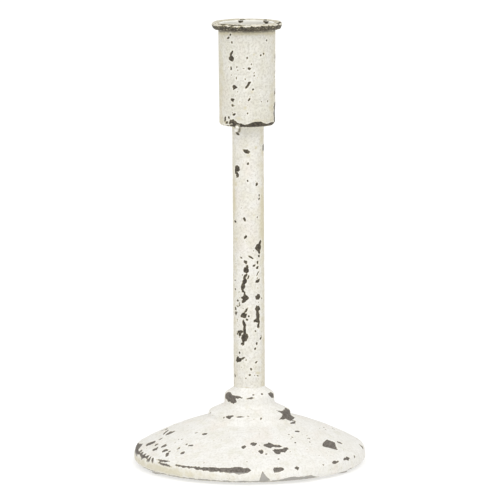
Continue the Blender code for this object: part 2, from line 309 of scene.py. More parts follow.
DISH_PATCHES = [
    [(55, 41.6), (63, 41.1), (65, 43.9), (61, 46.2), (58, 48.6), (55, 46.8), (51, 43.6)],
]
# Their second numbers are millimetres below the crease
CREASE_PATCH = [
    (-96, -1.5), (-86, -4.0), (-81, -2.4), (-79, -0.8), (-74, 0.4), (-78, 2.0), (-96, 2.0),
]
CREASE_TEETH = [
    (-75, -0.9, 3.4, 2.4, -35),
    (-71, -0.6, 3.2, 2.2, -40),
    (-68, 1.0, 3.4, 1.6, 70),
    (-67, -0.8, 2.8, 1.8, -30),
    (-63, -0.5, 3.0, 1.7, -35),
    (-61, 1.2, 3.4, 1.4, 75),
    (-60, -0.4, 2.4, 1.6, -25),
    (-57, 0.2, 3.0, 1.5, -30),
    (-49, -1.0, 8.6, 1.2, 85),
    (-47, 0.8, 9.0, 1.2, -88),
]
BAND_PATCH = [(6.2, 6.9), (4.6, 2.6), (10.0, 2.4), (8.2, 4.0)]
# Half widths of worn edges, as (angle, half width) keys; below 0 the paint holds
CREASE_WEAR = [
    (-180, 0.2), (-150, 0.6), (-120, 0.1), (-96, 0.5), (-86, 0.8), (-76, 0.6), (-62, 0.5),
    (-56, -0.1), (-53, -0.9), (-51, -0.1), (-48, -0.25), (-45, -0.1), (-43, -0.6), (-41, -0.3),
    (-39, 0.3), (-32, 0.4), (-29, 0.2), (-26, 0.7), (-20, 1.2), (-15, 1.0), (-11, 1.4),
    (-5, 1.8), (-1, 1.3), (1, -0.5), (2, -1.2), (11, -1.2), (12, 1.2), (16, 1.3), (18, -1.0),
    (22, -0.2), (24, 1.3), (26, -1.0), (37, -0.8), (39, 0.4), (41, -0.8), (43, -0.2),
    (46, 0.6), (50, 0.3), (52, -1.0), (54, 0.3), (58, 0.8), (61, -1.0), (84, -0.6),
    (100, 0.3), (125, 0.6), (150, 0.0), (180, 0.2),
]
HEM_WEAR = [
    (-180, 0.3), (-150, 0.5), (-90, 0.4), (-20, 0.5), (3, 0.5), (14, 0.6), (20, 1.6),
    (30, 1.5), (36, 0.2), (40, -0.6), (56, -0.4), (60, 0.5), (64, -0.5), (90, -0.4), (140, 0.4),
    (180, 0.3),
]
FOOT_WEAR = [
    (-180, 0.5), (-120, 0.8), (-84, 0.0), (-66, -0.5), (-56, 0.2), (-46, 0.3), (-29, 0.9),
    (-14, 0.9), (-5, 0.6), (4, 0.9), (10, 1.3), (18, 1.4), (28, 1.2), (36, 0.9), (50, 0.8),
    (72, 0.9), (100, 0.4), (140, 0.7), (180, 0.5),
]
RIM_CREST_WEAR = [
    (-180, 0.2), (-164, 0.2), (-156, -0.4), (-110, -0.3), (-90, 0.2), (-62, 0.1), (-48, 0.55),
    (-12, 0.5), (-6, 0.2), (0, 0.45), (5, 0.3), (10, -0.5), (24, -0.4), (30, 0.2), (36, -0.4),
    (56, -0.3), (66, 0.5), (84, 0.4), (100, -0.2), (130, -0.3), (150, 0.2), (160, -0.2),
    (180, 0.2),
]
RIM_FAR_WEAR = [
    (-180, -0.4), (-176, 0.8), (-168, 0.9), (-163, -0.5), (-120, -0.6), (-84, -0.4), (84, -0.5),
    (112, -0.6), (136, -0.5), (139, 0.8), (146, 0.8), (150, -0.5), (174, -0.6), (180, -0.4),
]
RIM_UNDER_WEAR = [
    (-180, 1.1), (-120, 1.2), (-95, 1.0), (-75, 1.1), (-60, 1.4), (-40, 1.6), (-20, 1.5),
    (2, 1.7), (12, 1.8), (30, 1.6), (56, 1.5), (74, 1.1), (95, 1.0), (120, 1.2), (180, 1.1),
]
# The rim's worn lines lie at these turns round the wire: 0 outward, 90 on top, 180 inward
RIM_LINES = [
    (-35, RIM_UNDER_WEAR, 0.5),
    (60, RIM_CREST_WEAR, 0.4),
    (140, RIM_FAR_WEAR, 0.3),
]
SHOULDER_WEAR = [
    (-180, 0.2), (-120, -0.3), (-85, -0.4), (85, -0.4), (120, 0.4), (160, -0.2), (180, 0.2),
]
FLANGE_WEAR = [(-180, 0.1), (-130, 0.3), (-85, -0.3), (88, -0.4), (120, 0.1), (180, 0.1)]

# Clusters are (angle, place, spread in degrees, spread in mm, count, size)
CUP_CLUSTERS = [
    (108, 186, 5, 12, 12, 1.5),
    (146, 192, 6, 9, 9, 1.3),
    (172, 176, 6, 9, 10, 1.7),
    (-150, 188, 6, 12, 12, 1.5),
    (-112, 180, 7, 12, 10, 1.4),
    (-24, 176, 9, 12, 14, 0.5),
    (6, 184, 16, 10, 8, 0.45),
    (40, 178, 18, 10, 5, 0.4),
]
STEM_CLUSTERS = [
    (100, 118, 9, 18, 12, 1.5),
    (128, 78, 10, 16, 16, 1.8),
    (160, 130, 8, 12, 8, 1.4),
    (180, 92, 10, 20, 14, 1.9),
    (-140, 70, 10, 16, 14, 1.6),
    (-120, 122, 9, 16, 10, 1.4),
    (-100, 90, 8, 24, 10, 1.3),
    (-24, 76, 14, 14, 20, 0.5),
    (36, 78, 12, 16, 14, 0.5),
    (-50, 76, 6, 9, 10, 0.55),
    (10, 124, 40, 14, 7, 0.42),
    (-10, 46, 25, 6, 7, 0.45),
]
COLLAR_CLUSTERS = [
    (130, 31, 14, 2, 6, 1.6),
    (-160, 27, 16, 2, 7, 1.5),
    (-110, 26, 14, 2, 5, 1.4),
    (165, 33, 12, 1, 5, 1.8),
]
DISH_CLUSTERS = [
    (112, 44, 8, 5, 16, 1.7),
    (140, 34, 9, 6, 10, 1.5),
    (165, 46, 9, 5, 16, 1.9),
    (-162, 38, 9, 6, 12, 1.6),
    (-132, 47, 8, 4, 14, 1.7),
    (-105, 42, 7, 6, 12, 1.5),
    (-64, 44, 12, 5, 20, 0.7),
    (8, 41, 22, 7, 20, 0.55),
    (50, 38, 16, 8, 20, 0.55),
    (-20, 32, 20, 7, 10, 0.5),
]

# Bare spots inside the mouth: (angle, height, half height, half width)
MOUTH_SPOTS = [
    (-166, 209.3, 1.0, 1.5),
    (128, 209.3, 1.0, 1.7),
]

# Faint smudges are (angle, place, half height, half width, strength); the long ones on the left and
# right flanks are painted side shade
CUP_SMUDGES = [
    (10, 178.6, 0.8, 0.9, 0.9),
    (-4, 171.2, 0.8, 0.9, 0.8),
    (36, 196.2, 0.9, 0.8, 0.9),
    (14, 196.0, 0.7, 0.8, 0.7),
    (-18, 166.0, 1.0, 1.6, 0.7),
    (22, 164.6, 0.8, 3.0, 1.0),
    # Long smudges on the flanks: painted side shade
    (-62, 190.0, 7.0, 1.6, 0.25),
    (-70, 176.0, 9.0, 1.8, 0.25),
    (58, 172.0, 6.0, 2.2, 0.4),
]
STEM_SMUDGES = [
    (-12, 37.0, 0.9, 1.4, 0.9),
    (34, 44.0, 0.8, 1.5, 1.0),
    (-58, 116.2, 0.9, 1.0, 0.9),
    (2, 148.0, 0.9, 1.2, 0.7),
    (-2, 153.0, 0.7, 1.2, 0.7),
    (30, 151.5, 0.8, 0.8, 0.8),
    (20, 119.5, 0.7, 0.7, 0.7),
    (-50, 108.0, 0.7, 0.9, 0.7),
    (-52, 134.0, 0.8, 0.8, 0.8),
    # Long smudges on the flanks: painted side shade
    (64, 124.0, 6.0, 1.6, 0.5),
    (60, 112.0, 7.0, 1.8, 0.55),
    (-66, 126.0, 9.0, 1.6, 0.45),
]
# Darker streaks down one side are (angle, reach in degrees, strength); on the left and right flanks
# they are painted side shade
STEM_SHADE_STREAKS = [(-74, 28, 0.48), (68, 28, 0.52), (160, 25, 0.3)]
CUP_SHADE_STREAKS = [(-74, 26, 0.42), (74, 28, 0.38), (170, 25, 0.2)]
# Runs of paint or weld are (angle, height, reach, height of the lump)
STEM_LUMP = (-42, 160.0, 1.4, 1.5)
CUP_LUMP = (-21, CUP_FOOT + 0.1, 1.2, 0.8)
# Small chips round the wire of the rim are at these angles
RIM_CLUSTERS = (-84, -78, 74, 86, 100, 120, -110, -130)

# ------------------------------------------------------------------ profiles


def fillet(before, corner, after, radius, steps=8):
    """Points of the arc that rounds a corner between its two neighbours."""
    to_before = (before - corner).normalized()
    to_after = (after - corner).normalized()
    half = to_before.angle(to_after) / 2
    centre = corner + (to_before + to_after).normalized() * radius / math.sin(half)
    first = corner + to_before * radius / math.tan(half) - centre
    last = corner + to_after * radius / math.tan(half) - centre
    turn = first.angle_signed(last)
    return [centre + Matrix.Rotation(-turn * i / steps, 2) @ first for i in range(steps + 1)]


def dome_arc(start, end, radius, steps):
    """Points after start and before end, on a circle that bulges outward."""
    chord = end - start
    inward = Vector((chord.y, -chord.x)).normalized()
    centre = (start + end) / 2 + inward * math.sqrt(radius**2 - (chord.length / 2) ** 2)
    first, last = start - centre, end - centre
    turn = first.angle_signed(last)
    return [centre + Matrix.Rotation(-turn * i / steps, 2) @ first for i in range(1, steps)]


def run(corners, pitch):
    """Evenly spaced points along (radius, height, rounding) corners, the last one left out."""
    points = [Vector(corner[:2]) for corner in corners]
    path = [points[0]]
    for i in range(1, len(corners) - 1):
        rounding = corners[i][2]
        if rounding:
            path += fillet(points[i - 1], points[i], points[i + 1], rounding)
        else:
            path.append(points[i])
    path.append(points[-1])
    path = np.array(path)
    lengths = np.concatenate([[0], np.cumsum(np.linalg.norm(np.diff(path, axis=0), axis=1))])
    count = max(1, math.ceil(lengths[-1] / pitch))
    even = np.linspace(0, lengths[-1], count, endpoint=False)
    return np.stack([np.interp(even, lengths, path[:, k]) for k in (0, 1)], axis=1)


# ------------------------------------------------------------------ skins


def smooth_step(value):
    value = np.clip(value, 0, 1)
    return value * value * (3 - 2 * value)


class Skin:
    """A turned surface as rows times columns, with a field of chips, lumps, and grime with painted
    light and shade.

    Below 0 the grime and shading field is whiter paint as painted light, 0 to 0.75 a yellow stain
    that on the flanks is also painted side shade, and above 1 a dark grey that is mostly painted
    shade with some caked grime.
    """

    def __init__(self, name, runs, columns, visible_rows, seed):
        self.name = name
        profile = np.concatenate(runs)
        steps = np.roll(profile, -1, axis=0) - profile
        tangent = steps + np.roll(steps, 1, axis=0)
        tangent /= np.linalg.norm(tangent, axis=1)[:, None]
        length = np.concatenate([[0], np.cumsum(np.linalg.norm(steps, axis=1))])[:-1]
        self.profile = profile[:visible_rows]
        self.rows, self.columns = len(profile), columns
        around = np.arange(columns) * 360.0 / columns - 180.0
        self.angle = np.tile(around, self.rows)
        self.radius = np.repeat(profile[:, 0], columns)
        self.down = np.repeat(length, columns)
        turn = np.radians(self.angle)
        out = np.stack([np.sin(turn), -np.cos(turn)], axis=1)
        self.points = np.column_stack([out * self.radius[:, None], np.repeat(profile[:, 1], columns)])
        across = np.repeat(-tangent[:, 1], columns)
        self.normals = np.column_stack([out * across[:, None], np.repeat(tangent[:, 0], columns)])
        self.visible = np.repeat(np.arange(self.rows) < visible_rows, columns)
        self.row_down = length[:visible_rows]
        self.random = np.random.default_rng(seed)
        self.shift = self.random.uniform(-50, 50, 3)
        self.chip = np.full(len(self.points), NO_CHIP)
        self.lump = np.zeros(len(self.points))
        self.grime_and_shading = np.zeros(len(self.points))
        self.pale = np.zeros(len(self.points))
        self.warp = [self.noise(1.9, 3, k) for k in (11, 37)]

    def noise(self, size, octaves=2, key=0):
        """Fractal noise about 0 on the surface, with features of this size."""
        places = (self.points + self.shift + key) / size
        return np.array([noise.fractal(place, 1.0, 2.0, octaves) for place in places])

    def down_at(self, radius=0.0, height=math.inf):
        """Distance down the profile to the first row this far out and this low, or the last."""
        reached = (self.profile[:, 0] >= radius - 0.02) & (self.profile[:, 1] <= height)
        return self.row_down[reached.argmax() if reached.any() else -1]

    def turn_from(self, angle):
        """Degrees to the right of an angle, from -180 to 180."""
        return (self.angle - angle + 180.0) % 360.0 - 180.0

    def flat_offsets(self, angle, down):
        """Distances to the right of and above a place, with the surface laid flat."""
        return np.radians(self.turn_from(angle)) * self.radius, down - self.down

    def chip_at(self, angle, down, length, width, slant):
        """A ragged chip with pointed ends."""
        right, up = self.flat_offsets(angle, down)
        near = self.visible & (np.abs(right) < length + 2) & (np.abs(up) < length + 2)
        ragged = 0.10 + 0.22 * min(width, 3.0)
        right = right[near] + self.warp[0][near] * ragged
        up = up[near] + self.warp[1][near] * ragged
        lean = math.radians(slant)
        along = right * math.sin(lean) + up * math.cos(lean)
        across = right * math.cos(lean) - up * math.sin(lean)
        reach = np.abs(along * 2 / length) ** POINTED + np.abs(across * 2 / width) ** POINTED
        self.chip[near] = np.maximum(self.chip[near], (1 - reach ** (1 / POINTED)) * width / 2)

    def patch(self, corners, ragged):
        """A chip with a drawn outline of (angle, distance down the profile) corners."""
        angle, down = np.mean(corners, axis=0)
        degree = math.radians(1) * np.interp(down, self.row_down, self.profile[:, 0])
        x = self.turn_from(angle) * degree + self.warp[0] * ragged
        y = self.down - down + self.warp[1] * ragged
        outline = [((turn - angle) * degree, place - down) for turn, place in corners]
        inside = np.zeros(len(x), bool)
        nearest = np.full(len(x), math.inf)
        for (x1, y1), (x2, y2) in zip(outline, outline[1:] + outline[:1], strict=True):
            step_x, step_y = x2 - x1, y2 - y1
            share = ((x - x1) * step_x + (y - y1) * step_y) / (step_x**2 + step_y**2)
            share = np.clip(share, 0, 1)
            nearest = np.minimum(nearest, np.hypot(x - x1 - share * step_x, y - y1 - share * step_y))
            if step_y:
                inside ^= ((y1 > y) != (y2 > y)) & (x < x1 + (y - y1) * step_x / step_y)
        distance = np.where(inside, nearest, -nearest)
        self.chip = np.where(self.visible, np.maximum(self.chip, distance), self.chip)

    def chips_at(self, chips, place):
        """Chips whose second number is turned by place() into a distance down the profile."""
        for angle, second, *rest in chips:
            self.chip_at(angle, place(second), *rest)

    def clusters_at(self, clusters, place):
        for angle, second, *rest in clusters:
            self.cluster(angle, place(second), *rest)

    def patches_at(self, outlines, place, ragged=0.42):
        for outline in outlines:
            self.patch([(angle, place(second)) for angle, second in outline], ragged)

    def at_radius(self, radius):
        return self.down_at(radius=radius)

    def at_height(self, height):
        return self.down_at(height=height)

    def cluster(self, angle, down, turn_spread, spread, count, size):
        """Small chips scattered about a place."""
        for _ in range(count):
            length = size * self.random.lognormal(0.0, 0.45)
            self.chip_at(
                angle + self.random.normal(0, turn_spread),
                down + self.random.normal(0, spread),
                length,
                length * self.random.uniform(0.45, 0.9),
                self.random.normal(15, 35),
            )

    def worn_edge(self, down, widths, wander=0.55, size=2.6):
        """A broken worn line round an edge."""
        angles, halves = zip(*widths, strict=True)
        half = np.interp(self.angle, angles, halves)
        half = half + wander * (self.noise(size, 3, 5) + 0.35 * self.noise(size / 3, 2, 9))
        offset = np.abs(self.down - down + 0.25 * self.warp[0])
        self.chip = np.where(self.visible, np.maximum(self.chip, half - offset), self.chip)

    def lump_at(self, angle, height, reach, rise):
        """A round run of paint or weld standing on the surface, with painted shade and grime about
        its foot and a painted highlight of whiter paint on its top.
        """
        distance = np.hypot(*self.flat_offsets(angle, self.at_height(height)))
        self.lump += rise * np.sqrt(np.clip(1 - (distance / reach) ** 2, 0, 1))
        # Painted shade round the lump's foot, with some grime, and a painted highlight on its top
        self.grime_and_shading += 2.6 * np.exp(-(((distance - reach - 0.1) / GRIME_WIDTH) ** 2))
        self.grime_and_shading -= 1.4 * (distance < reach - 0.3)
        self.chip = np.where(distance < reach, NO_CHIP, self.chip)

    def smudge_at(self, angle, down, half_height, half_width, strength):
        """A faint darker spot; long ones on the flanks are painted side shade."""
        right, up = self.flat_offsets(angle, down)
        self.grime_and_shading += strength * np.exp(-((right / half_width) ** 2) - (up / half_height) ** 2)

    def soil_and_side_shade(self, smudges, streaks):
        """All the smudges and shade streaks of a piece, soiling and painted side shade."""
        for angle, height, *rest in smudges:
            self.smudge_at(angle, self.at_height(height), *rest)
        for streak in streaks:
            self.shade_streak_at(*streak)

    def grime_and_shade_at(self, down, reach, strength):
        """Darkening along a line round the piece; under the rim's wire and under the cup it is
        painted shadow.
        """
        self.grime_and_shading += strength * np.exp(-(((self.down - down) / reach) ** 2))

    def shade_streak_at(self, angle, reach, strength):
        """Darkening run down the whole height on one side; on the left and right flanks it is painted
        side shade.
        """
        self.grime_and_shading += strength * np.exp(-((self.turn_from(angle) / reach) ** 2)) * self.visible

    def rough_inside(self, share):
        """Patchy paint on the rows that a hand does not reach."""
        patches = self.noise(7.0, 3, 21) * 3.0 + share
        self.chip = np.where(self.visible, self.chip, np.clip(patches, NO_CHIP, 1.5))

    def inner_spot(self, angle, height, half_height, half_width):
        """A bare spot on the rows that face inward."""
        right, _ = self.flat_offsets(angle, 0.0)
        up = self.points[:, 2] - height
        reach = np.hypot(right / half_width, up / half_height) + 0.35 * self.warp[0]
        spot = np.where(self.visible, NO_CHIP, (1 - reach) * half_height)
        self.chip = np.maximum(self.chip, spot)

    def build(self, material, slot, replaced, offset=(0.0, 0.0), uneven=0.05):
        """The finished mesh, riding on the root body in place of its CAD node."""
        self.lump += uneven * self.noise(6.0, 2, 3) + uneven * 0.4 * self.noise(1.6, 2, 4)
        sunk = CHIP_DEPTH * smooth_step(self.chip / CHIP_RAMP + 0.5)
        lip = LIP_HEIGHT * np.exp(-(((self.chip + LIP_PLACE) / LIP_WIDTH) ** 2))
        rough = BARE_ROUGHNESS * self.noise(0.8, 2, 8) * (self.chip > 0)
        points = self.points + self.normals * (self.lump - sunk + lip + rough)[:, None]
        points[:, :2] += offset
        index = np.arange(len(points)).reshape(self.rows, self.columns)
        below, right = np.roll(index, -1, axis=0), np.roll(index, -1, axis=1)
        below_right = np.roll(below, -1, axis=1)
        faces = np.stack([below, below_right, right, index], axis=-1).reshape(-1, 4)
        mesh = bpy.data.meshes.new(self.name)
        mesh.from_pydata((points * MM).tolist(), [], faces.tolist())
        mesh.shade_smooth()
        for key, values in (("chip", self.chip), ("grime_and_shading", self.grime_and_shading), ("pale", self.pale)):
            attribute = mesh.attributes.new(key, "FLOAT", "POINT")
            attribute.data.foreach_set("value", values.astype(np.float32))
        return dress(bpy.data.objects.new(self.name, mesh), material, replaced)


def dress(piece, material, replaced):
    """Give a new piece its material and body, and hide the CAD node that it stands for."""
    bpy.context.scene.collection.objects.link(piece)
    piece.data.materials.append(material)
    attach(piece, "root")
    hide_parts(replaced)
    return piece


# ------------------------------------------------------------------ node helpers


class Nodes:
    """Short calls for building the node tree of a material or a world."""

    def __init__(self, owner):
        self.owner = owner
        owner.use_nodes = True
        self.tree = owner.node_tree
        self.shader = self.tree.nodes.get("Principled BSDF")
        self.place = self.add("ShaderNodeTexCoord").outputs["Object"]

    def add(self, kind, inputs=(), **settings):
        node = self.tree.nodes.new(kind)
        for key, value in settings.items():
            setattr(node, key, value)
        for key, value in dict(inputs).items():
            self.feed(node.inputs[key], value)
        return node

    def feed(self, socket, value):
        if isinstance(value, bpy.types.NodeSocket):
            self.tree.links.new(value, socket)
        else:
            socket.default_value = value

    def maths(self, operation, first, second=0.0, clamp=False):
        inputs = {0: first, 1: second}
        node = self.add("ShaderNodeMath", inputs, operation=operation, use_clamp=clamp)
        return node.outputs[0]

    def grain(self, size, detail=3.0, roughness=0.55, stretch=(1, 1, 1)):
        """Noise from 0 to 1 with features of this size in millimetres."""
        place = self.place
        if stretch != (1, 1, 1):
            place = self.add("ShaderNodeMapping", {"Vector": place, "Scale": stretch}).outputs[0]
        inputs = {"Vector": place, "Scale": 1 / (size * MM), "Detail": detail, "Roughness": roughness}
        return self.add("ShaderNodeTexNoise", inputs).outputs[0]

    def ramp(self, value, low, high, to_low=0.0, to_high=1.0):
        inputs = {0: value, 1: low, 2: high, 3: to_low, 4: to_high}
        return self.add("ShaderNodeMapRange", inputs, interpolation_type="SMOOTHSTEP").outputs[0]

    def attribute(self, name):
        return self.add("ShaderNodeAttribute", attribute_name=name).outputs["Fac"]

    def blend(self, share, first, second):
        node = self.add("ShaderNodeMix", data_type="RGBA")
        self.feed(node.inputs[0], share)
        for socket, colour in ((node.inputs[6], first), (node.inputs[7], second)):
            self.feed(socket, (*colour, 1.0) if isinstance(colour, tuple) else colour)
        return node.outputs[2]

    def bump(self, height, distance, strength=1.0, before=None):
        inputs = {"Height": height, "Distance": distance * MM, "Strength": strength}
        if before is not None:
            inputs["Normal"] = before
        return self.add("ShaderNodeBump", inputs).outputs[0]

    def finish(self, colour, roughness, normal, metallic=0.0, specular=0.3):
        self.feed(self.shader.inputs["Base Color"], colour)
        self.feed(self.shader.inputs["Roughness"], roughness)
        self.feed(self.shader.inputs["Normal"], normal)
        self.feed(self.shader.inputs["Metallic"], metallic)
        self.shader.inputs["Specular IOR Level"].default_value = specular
        return self.owner


# ------------------------------------------------------------------ materials

IRON_DARK = (0.042, 0.034, 0.026)
IRON_WORN = (0.120, 0.103, 0.072)
IRON_PALE = (0.37, 0.355, 0.33)
STAIN = (0.55, 0.485, 0.28)
# Dark grey for painted shade, with some caked grime
SHADE_AND_SOOT = (0.20, 0.185, 0.155)
SPECK = (0.40, 0.37, 0.31)
BLUSH = (0.78, 0.70, 0.62)
OLIVE = (0.66, 0.645, 0.53)
# Whiter paint for painted light
PAINTED_LIGHT_WHITE = (0.90, 0.885, 0.83)
FRESH = (0.90, 0.89, 0.86)
BASE_PAINT = (0.825, 0.815, 0.78)
BASE_CREAM = (0.79, 0.775, 0.725)
STEM_PAINT = (0.785, 0.77, 0.725)
STEM_CREAM = (0.75, 0.725, 0.64)
CUP_PAINT = (0.735, 0.72, 0.66)
CUP_CREAM = (0.70, 0.68, 0.595)
RIM_PAINT = (0.66, 0.63, 0.54)
RIM_CREAM = (0.54, 0.495, 0.38)
TAUPE_DARK = (0.103, 0.091, 0.078)
TAUPE_WORN = (0.210, 0.188, 0.162)
ZINC_LIGHT = (0.50, 0.50, 0.49)
ZINC_DARK = (0.36, 0.35, 0.33)
STEEL_LIGHT = (0.40, 0.39, 0.37)
STEEL_DARK = (0.26, 0.24, 0.22)
FELT_DARK = (0.44, 0.42, 0.385)
FELT_LIGHT = (0.62, 0.60, 0.56)
BASE_SPECKLE, STEM_SPECKLE, CUP_SPECKLE, RIM_SPECKLE = 0.24, 0.38, 0.46, 0.60
FLOOR_TONES = ((0.62, 0.62, 0.615), (0.63, 0.63, 0.625))
SKY_COLOUR = (1.0, 0.995, 0.985, 1.0)
WHITE = (1.0, 1.0, 1.0, 1.0)


def chipped_paint(name, paint, cream, speckle, iron_dark=IRON_DARK, iron_worn=IRON_WORN):
    """Chalky paint over dark iron, parted along the mesh's chips with ragged edges."""
    n = Nodes(bpy.data.materials.new(name))
    ragged = n.maths("MULTIPLY", n.maths("SUBTRACT", n.grain(0.75, 4.0, 0.6), 0.5), 0.62)
    edge = n.maths("ADD", n.attribute("chip"), ragged)
    bare = n.ramp(edge, -0.04, 0.05)
    rim = n.ramp(edge, -0.20, -0.04)
    fresh = n.maths("SUBTRACT", n.ramp(edge, -0.85, -0.25), rim, clamp=True)

    # Uneven paint: creamy clouds, a blush, olive patches and a fine mottle
    clouds = n.ramp(n.grain(7.0, 3.0), 0.35, 0.68)
    colour = n.blend(clouds, paint, cream)
    blush = n.ramp(n.grain(11.0, 2.0, 0.5, (1, 1, 0.5)), 0.52, 0.72, 0.0, 0.30)
    colour = n.blend(blush, colour, BLUSH)
    olive = n.ramp(n.grain(5.0, 3.0, 0.6, (1, 1, 0.6)), 0.50, 0.70, 0.0, 0.35)
    colour = n.blend(olive, colour, OLIVE)
    mottle = n.ramp(n.grain(1.0, 4.0, 0.7), 0.42, 0.66, 0.0, speckle)
    colour = n.blend(mottle, colour, SPECK)

    # Whiter paint as painted light, yellow stains, and a dark grey that is mostly painted shade, from
    # the mesh's grime and shading field
    stored_grime_and_shading = n.attribute("grime_and_shading")
    # Painted light: whiter paint where the field is below 0, on the lumps' tops and inside the mouth
    colour = n.blend(n.ramp(stored_grime_and_shading, -0.1, -0.9, 0.0, 0.85), colour, PAINTED_LIGHT_WHITE)
    # Yellow stain; on the stem's and cup's flanks it is also painted side shade
    grime_and_shading = n.maths("ADD", stored_grime_and_shading, n.maths("SUBTRACT", n.grain(3.2, 4.0), 0.62))
    grime_and_shading = n.ramp(grime_and_shading, 0.0, 0.75, 0.0, 0.55)
    colour = n.blend(grime_and_shading, colour, STAIN)
    # Painted shade: dark grey under the rim's wire and round the lumps' feet, with a little caked
    # grime
    shade_and_caked_grime = n.maths("ADD", stored_grime_and_shading, n.maths("SUBTRACT", n.grain(1.3, 3.0), 0.5))
    colour = n.blend(n.ramp(shade_and_caked_grime, 0.95, 1.9, 0.0, 0.85), colour, SHADE_AND_SOOT)

    # Pinholes, the fresh and the rusty line round a chip, and the iron inside it
    cells = n.add("ShaderNodeTexVoronoi", {"Vector": n.place, "Scale": 1 / (1.7 * MM)})
    dots = n.ramp(cells.outputs["Distance"], 0.20, 0.08)
    some = n.ramp(n.grain(2.6, 2.0), 0.52, 0.62)
    dots = n.maths("MULTIPLY", n.maths("MULTIPLY", dots, some), 0.55)
    colour = n.blend(dots, colour, SPECK)
    colour = n.blend(n.maths("MULTIPLY", fresh, 0.35), colour, FRESH)
    colour = n.blend(n.maths("MULTIPLY", rim, 0.55), colour, STAIN)
    iron = n.blend(n.ramp(n.grain(1.1, 4.0, 0.65), 0.38, 0.66), iron_dark, iron_worn)
    iron = n.blend(n.attribute("pale"), iron, IRON_PALE)
    colour = n.blend(bare, colour, iron)

    chalk = n.ramp(n.grain(2.2, 3.0), 0.3, 0.7, 0.52, 0.70)
    roughness = n.maths("ADD", chalk, n.maths("MULTIPLY", bare, 0.08))
    broad = n.bump(n.grain(2.4, 2.0), 0.10, 0.55)
    fine = n.bump(n.grain(0.45, 3.0, 0.6), 0.030, 0.55, broad)
    pitted = n.bump(n.maths("MULTIPLY", dots, -1.0), 0.05, 0.6, fine)
    normal = n.bump(n.maths("MULTIPLY", bare, -1.0), 0.08, 0.8, pitted)
    return n.finish(colour, roughness, normal)


def plated_steel(name, light, dark):
    """Dull zinc plating with fine turning marks and a few darker stains."""
    n = Nodes(bpy.data.materials.new(name))
    marks = n.grain(0.5, 3.0, 0.6, (1, 1, 6))
    stains = n.ramp(n.grain(1.8, 4.0), 0.42, 0.66)
    colour = n.blend(stains, light, dark)
    roughness = n.ramp(marks, 0.3, 0.7, 0.28, 0.46)
    return n.finish(colour, roughness, n.bump(marks, 0.012, 0.5), metallic=1.0)


def pressed_felt(name):
    """Pale grey felt: short matted fibres in two greys."""
    n = Nodes(bpy.data.materials.new(name))
    fibres = n.grain(0.22, 5.0, 0.75, (1, 1.6, 0.7))
    colour = n.blend(n.ramp(fibres, 0.35, 0.65), FELT_DARK, FELT_LIGHT)
    n.shader.inputs["Sheen Weight"].default_value = 0.35
    return n.finish(colour, 0.95, n.bump(fibres, 0.10, 0.9), specular=0.2)


# ------------------------------------------------------------------ painted pieces


def make_dish(material):
    """Pressed dish with its dome, crease, band and hem, and the sheet's inner face."""
    crease = Vector((EDGE - 0.5, CREASE_Z))
    arc = dome_arc(Vector((SEAT_RADIUS, SEAT_Z)), crease, DOME_RADIUS, DOME_STEPS)
    outer = [
        (SEAT_HIDDEN, SEAT_Z, 0),
        (SEAT_RADIUS, SEAT_Z, 0),
        *((point.x, point.y, 0) for point in arc),
        (*crease, 2.0),
        (EDGE, HEM_Z + 2.6, 3.0),
        (EDGE - 0.25, HEM_Z, 2.2),
        (HEM_INNER, HEM_Z, 0),
    ]
    inner_seat = SEAT_Z - SHEET
    inner = [
        (HEM_INNER, HEM_Z, 0),
        (HEM_INNER, HEM_Z + SHEET, 0.4),
        (EDGE - 1.8, HEM_Z + SHEET, 0.6),
        (EDGE - 1.6, CREASE_Z - 0.9, 0.6),
        *((point.x - 0.45, point.y - 1.43, 0) for point in reversed(arc[:-2])),
        (SEAT_RADIUS - 0.3, inner_seat, 0),
        (BOLT_HOLE, inner_seat, 0),
    ]
    seat = [(BOLT_HOLE, inner_seat, 0), (BOLT_HOLE, SEAT_Z, 0), (SEAT_HIDDEN, SEAT_Z, 0)]
    pitch, unseen_pitch, columns = DISH_MESH
    fine = run(outer, pitch)
    runs = [fine, run(inner, unseen_pitch), run(seat, 1.5)]
    skin = Skin("dish_skin", runs, columns, len(fine), seed=3)
    skin.chips_at(DISH_CHIPS, skin.at_radius)
    skin.clusters_at(DISH_CLUSTERS, skin.at_radius)
    skin.patches_at(DISH_PATCHES, skin.at_radius)
    crease_line = skin.at_height(CREASE_Z - 0.2)
    skin.patches_at([CREASE_PATCH], lambda below: crease_line + below, 0.7)
    skin.patches_at([BAND_PATCH], skin.at_height, 0.25)
    skin.chips_at(CREASE_TEETH, lambda below: crease_line + below)
    skin.worn_edge(crease_line, CREASE_WEAR)
    skin.worn_edge(skin.at_height(HEM_Z + 0.7), HEM_WEAR, 0.35)
    skin.pale = smooth_step((skin.down - crease_line - 0.8) / 0.8) * skin.visible
    # A darker, yellower band above the hem; all of the piece's darkening is strongest on the left
    skin.grime_and_shade_at(skin.at_height(HEM_Z + 2.9), 3.0, 0.5)
    left = np.exp(-(((skin.angle + 50) / 42) ** 2))
    skin.grime_and_shading *= 0.4 + 1.1 * left
    skin.rough_inside(-0.5)
    return skin.build(material, "base_paint", "base_dish")


